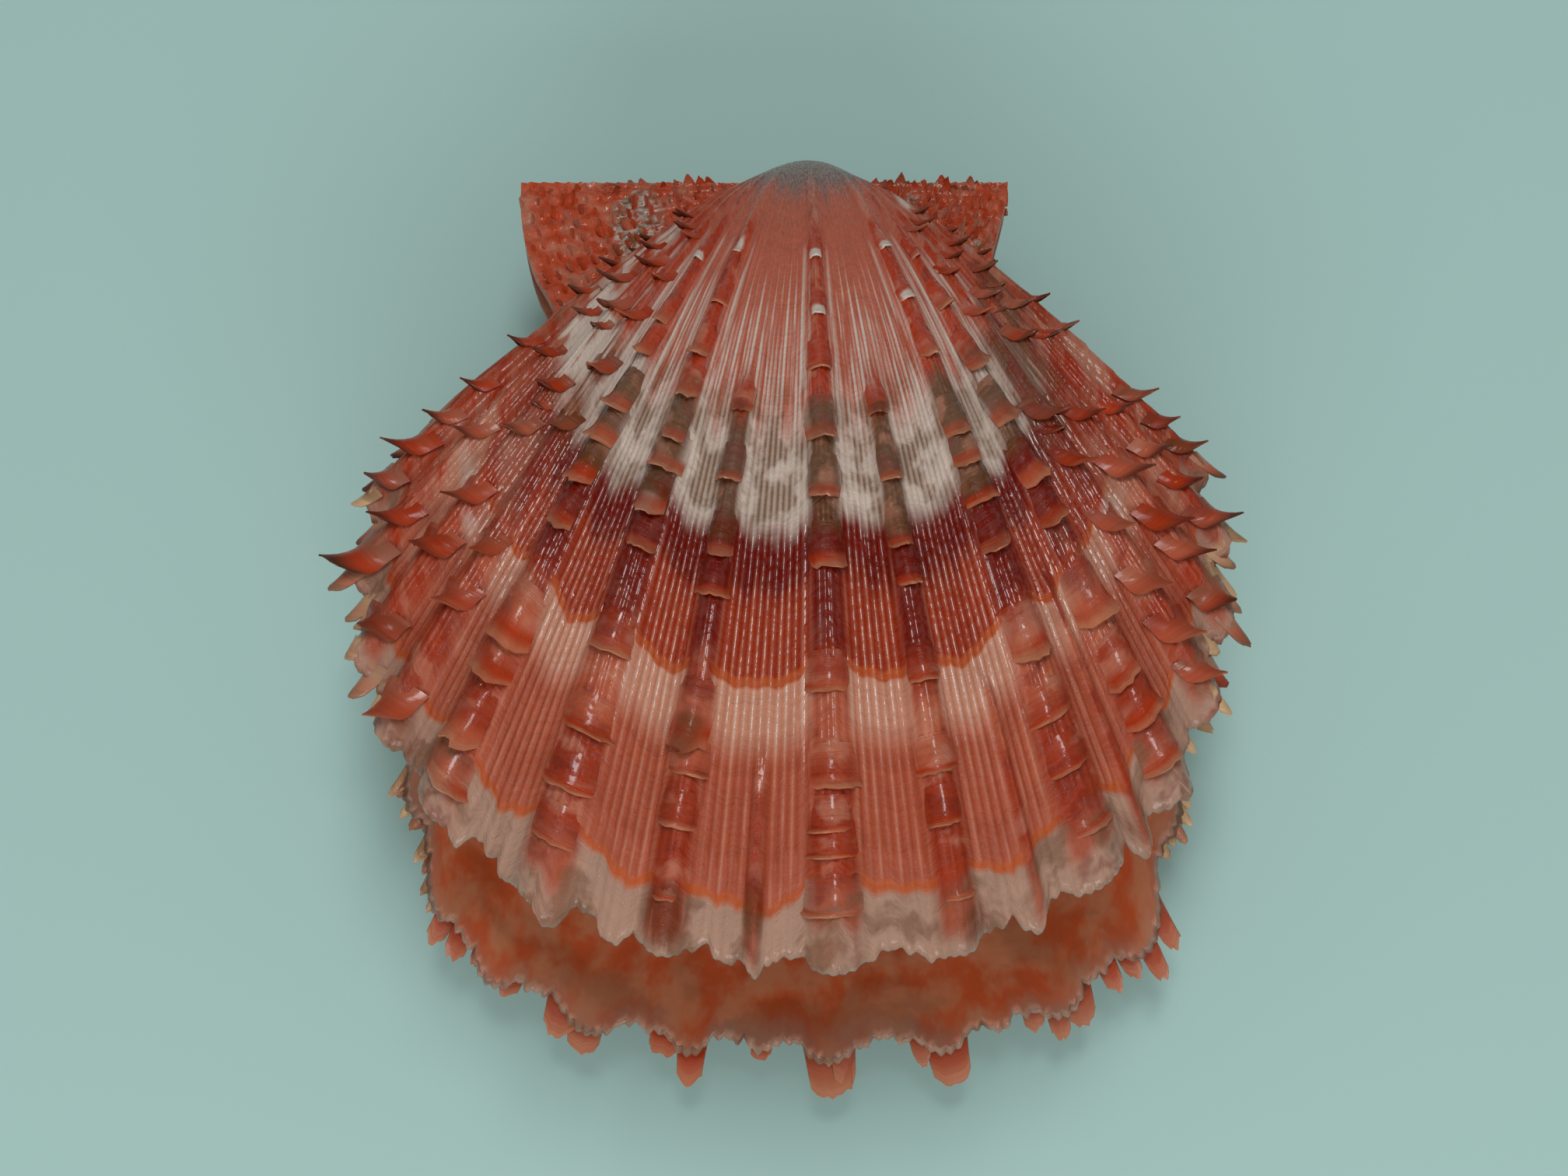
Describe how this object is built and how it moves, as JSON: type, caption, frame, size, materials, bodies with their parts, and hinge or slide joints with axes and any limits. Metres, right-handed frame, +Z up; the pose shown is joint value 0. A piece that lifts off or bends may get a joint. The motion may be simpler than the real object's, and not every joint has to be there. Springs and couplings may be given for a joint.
{
  "type": "scallop shell",
  "caption": "Small spiny scallop with both valves gaping at the hinge: fan of scaly ribs, two ears, hollow inside, lying on its lower valve.",
  "frame": {"origin": "on the floor, under the middle of the pair as it lies on its lower valve", "axes": "+X along the hinge line towards the smaller ear, +Y towards the hinge, the open margin faces -Y, +Z up"},
  "size_m": [0.0434, 0.047, 0.0249],
  "materials": {
    "shell_outside": "satin to glossy lime shell, salmon and orange-red with white and brown growth bands",
    "shell_lower": "satin lime shell, orange-brown inside with a pale lip, orange-red scales outside",
    "ligament": "dark brown, slightly glossy"
  },
  "bodies": {
    "root": {"upper_valve": "shell_outside", "lower_valve": "shell_lower", "ligament": "ligament"}
  },
  "joints": []
}
